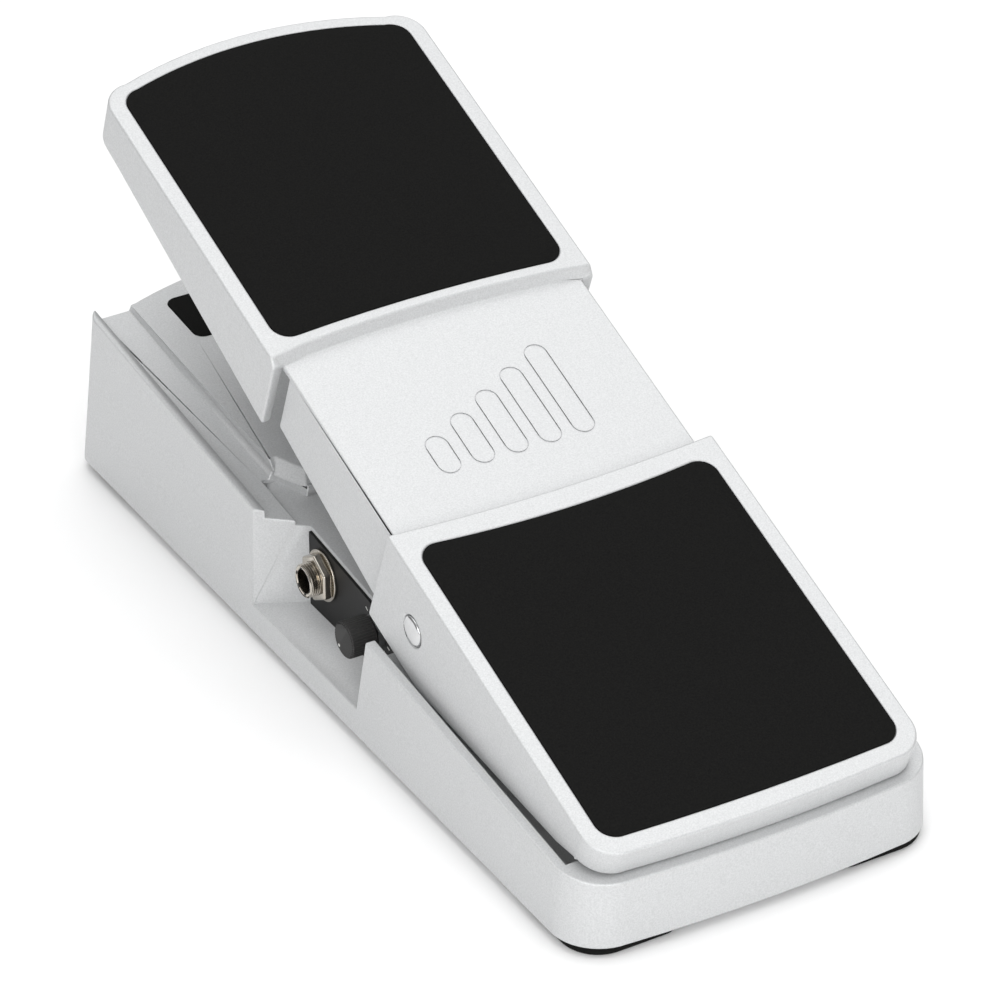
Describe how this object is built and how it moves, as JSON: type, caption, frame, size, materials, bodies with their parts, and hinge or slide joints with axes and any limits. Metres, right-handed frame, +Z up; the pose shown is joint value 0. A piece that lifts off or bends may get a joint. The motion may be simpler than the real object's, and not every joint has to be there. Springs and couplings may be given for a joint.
{
  "type": "volume pedal",
  "caption": "Foot-operated volume pedal: wedge-shaped cast base, rocking treadle with rubber pads, side jack recesses and a trim knob.",
  "frame": {"origin": "on the floor under the centre of the whole pedal at rest", "axes": "+Z up, +Y towards the toe end, +X to the player's right"},
  "size_m": [0.102, 0.2652, 0.1184],
  "materials": {
    "silver_paint": "fine-grain metallic silver paint on die-cast metal",
    "black_rubber": "matte moulded rubber",
    "black_plastic": "matte moulded plastic",
    "nickel": "warm nickel plate",
    "polished_steel": "polished",
    "zinc_steel": "zinc-plated",
    "white_nylon": "moulded nylon",
    "brass_contact": "plain",
    "board_laminate": "lacquered laminate"
  },
  "bodies": {
    "base": {"base_housing": "silver_paint", "board_screws": "zinc_steel", "board_standoffs": "zinc_steel", "bottom_plate": "zinc_steel", "bottom_plate_screws": "zinc_steel", "bracket_screws": "zinc_steel", "circuit_board": "board_laminate", "foot_heel_left": "black_rubber", "foot_heel_right": "black_rubber", "foot_toe_left": "black_rubber", "foot_toe_right": "black_rubber", "heel_bumpers": "black_rubber", "input_jack_body": "black_plastic", "input_jack_bush": "nickel", "input_jack_contacts": "brass_contact", "input_jack_nut": "nickel", "input_jack_washer": "nickel", "label_plate_left": "black_plastic", "label_plate_right": "black_plastic", "output_jack_body": "black_plastic", "output_jack_bush": "nickel", "output_jack_contacts": "brass_contact", "output_jack_nut": "nickel", "output_jack_washer": "nickel", "pivot_bearing_left": "white_nylon", "pivot_bearing_right": "white_nylon", "pot_bracket": "zinc_steel", "pot_bushing": "zinc_steel", "pot_can": "zinc_steel", "pot_nut": "zinc_steel", "toe_stop_pad": "black_rubber", "trim_pot_body": "black_plastic", "trim_pot_nut": "zinc_steel"},
    "treadle": {"axle_cap": "polished_steel", "friction_washer_left": "white_nylon", "friction_washer_right": "white_nylon", "heel_pad": "black_rubber", "pivot_axle": "polished_steel", "sector_gear": "white_nylon", "sector_screws": "zinc_steel", "toe_pad": "black_rubber", "treadle_casting": "silver_paint"},
    "pot_spindle": {"pot_shaft": "zinc_steel", "pinion": "white_nylon"},
    "trim": {"trim_knob": "black_plastic", "trim_shaft": "zinc_steel"}
  },
  "joints": [
    {"name": "treadle_rock", "type": "hinge", "parent": "base", "child": "treadle", "pos_m": [0, -0.045, 0.04285], "axis": [-1, 0, 0], "range_deg": [0, 18]},
    {"name": "pot_turn", "type": "hinge", "parent": "base", "child": "pot_spindle", "pos_m": [0, 0.00285, 0.02054], "axis": [1, 0, 0], "range_deg": [0, 180]},
    {"name": "trim_turn", "type": "hinge", "parent": "base", "child": "trim", "pos_m": [-0.04, -0.0151, 0.0239], "axis": [-1, 0, 0], "range_deg": [-140, 140]}
  ],
  "couplings": [
    {"joint": "pot_turn", "follows": "treadle_rock", "ratio": 10}
  ]
}
